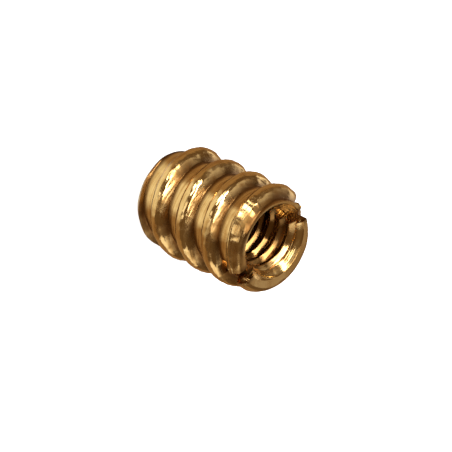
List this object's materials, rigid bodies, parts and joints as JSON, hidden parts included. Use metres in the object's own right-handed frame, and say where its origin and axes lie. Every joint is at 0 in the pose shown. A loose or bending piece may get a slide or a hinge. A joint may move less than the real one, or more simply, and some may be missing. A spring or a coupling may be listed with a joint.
{
  "type": "threaded insert",
  "caption": "Brass insert for wood: coarse right-hand thread outside, tapped bore with a countersunk mouth, and a driving slot across one end.",
  "frame": {"origin": "middle of the plain end, on the insert's axis", "axes": "+Z along the axis towards the slotted end, +X along the driving slot"},
  "size_m": [0.012, 0.012, 0.0159],
  "materials": {
    "brass": "bare turned brass, bright, with fine lathe marks"
  },
  "bodies": {
    "root": {"threaded_insert": "brass"}
  },
  "joints": []
}
